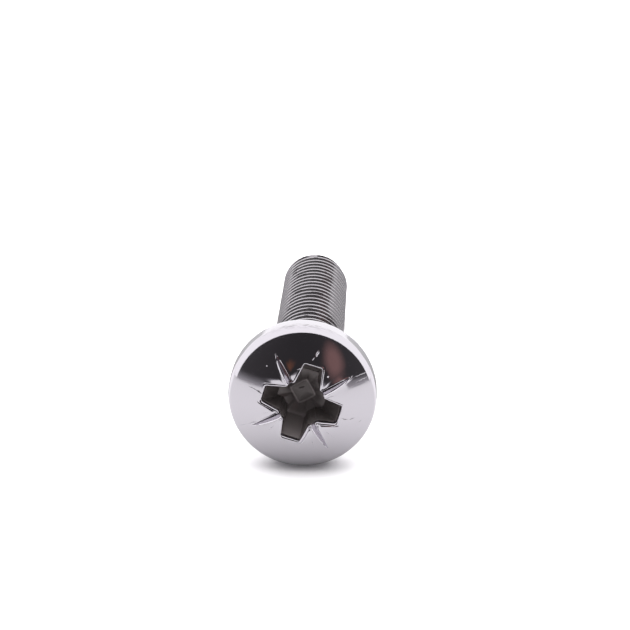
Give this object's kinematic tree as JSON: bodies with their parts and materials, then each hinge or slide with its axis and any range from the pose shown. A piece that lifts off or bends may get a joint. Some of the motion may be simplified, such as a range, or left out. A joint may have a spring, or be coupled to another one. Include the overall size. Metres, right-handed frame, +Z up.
{
  "type": "machine screw",
  "caption": "Steel machine screw with a domed pan head, cross recess and fully threaded shank; clamps parts into a tapped hole or nut.",
  "frame": {"origin": "on the surface the screw lies on, under the middle of its length", "axes": "+Z up from that surface; +Y from the head to the tip along the surface; +X across, to the right when facing along +Y"},
  "size_m": [0.012, 0.0344, 0.0121],
  "materials": {
    "machine_screw": "bright plated steel"
  },
  "bodies": {
    "root": {"machine_screw": "machine_screw"}
  },
  "joints": []
}
